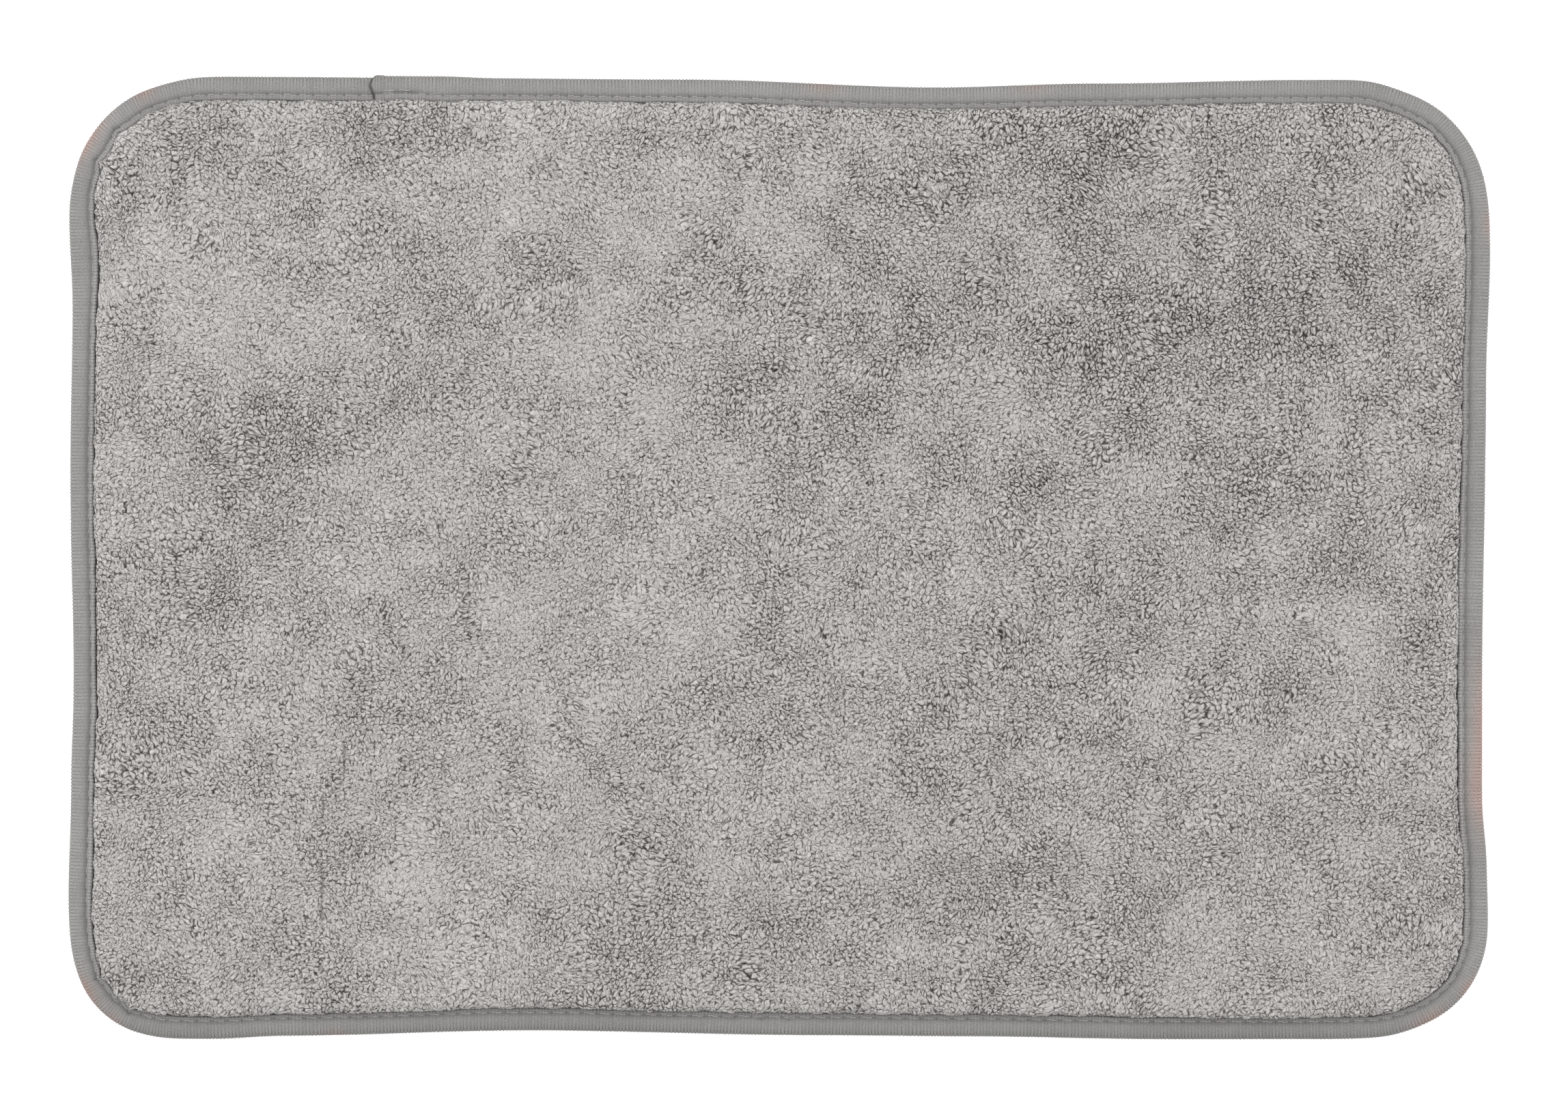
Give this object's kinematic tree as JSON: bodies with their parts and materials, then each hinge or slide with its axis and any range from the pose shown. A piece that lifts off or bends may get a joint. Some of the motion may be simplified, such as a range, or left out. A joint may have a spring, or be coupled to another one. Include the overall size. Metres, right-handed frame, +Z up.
{
  "type": "bath mat",
  "caption": "Rectangular cushioned bath mat with rounded corners: deep microfibre pile over foam, a dotted non-slip underside and a ribbed tape folded over its sewn edge.",
  "frame": {"origin": "on the floor, under the middle of the mat", "axes": "+X along the mat's length, +Y across its width towards the long side where the tape's end laps over its start, +Z up"},
  "size_m": [0.6, 0.4067, 0.012],
  "materials": {
    "pile_fleece": "short dense microfibre pile that clumps into small tufts, warm light grey, matt",
    "ground_knit": "fine knitted ground cloth, matt grey",
    "foam": "open-cell polyurethane foam, pale cream, matt",
    "backing_fabric": "plain woven polyester, matt grey",
    "anti_slip_pvc": "soft moulded PVC, dark grey, satin",
    "ribbed_tape": "grey ribbed polyester tape, slight sheen on the ribs",
    "sewing_thread": "grey twisted polyester sewing thread"
  },
  "bodies": {
    "root": {"pile": "pile_fleece", "pile_ground": "ground_knit", "foam_core": "foam", "backing_fabric": "backing_fabric", "anti_slip_dots": "anti_slip_pvc", "binding_tape": "ribbed_tape", "needle_thread": "sewing_thread", "bobbin_thread": "sewing_thread"}
  },
  "joints": []
}
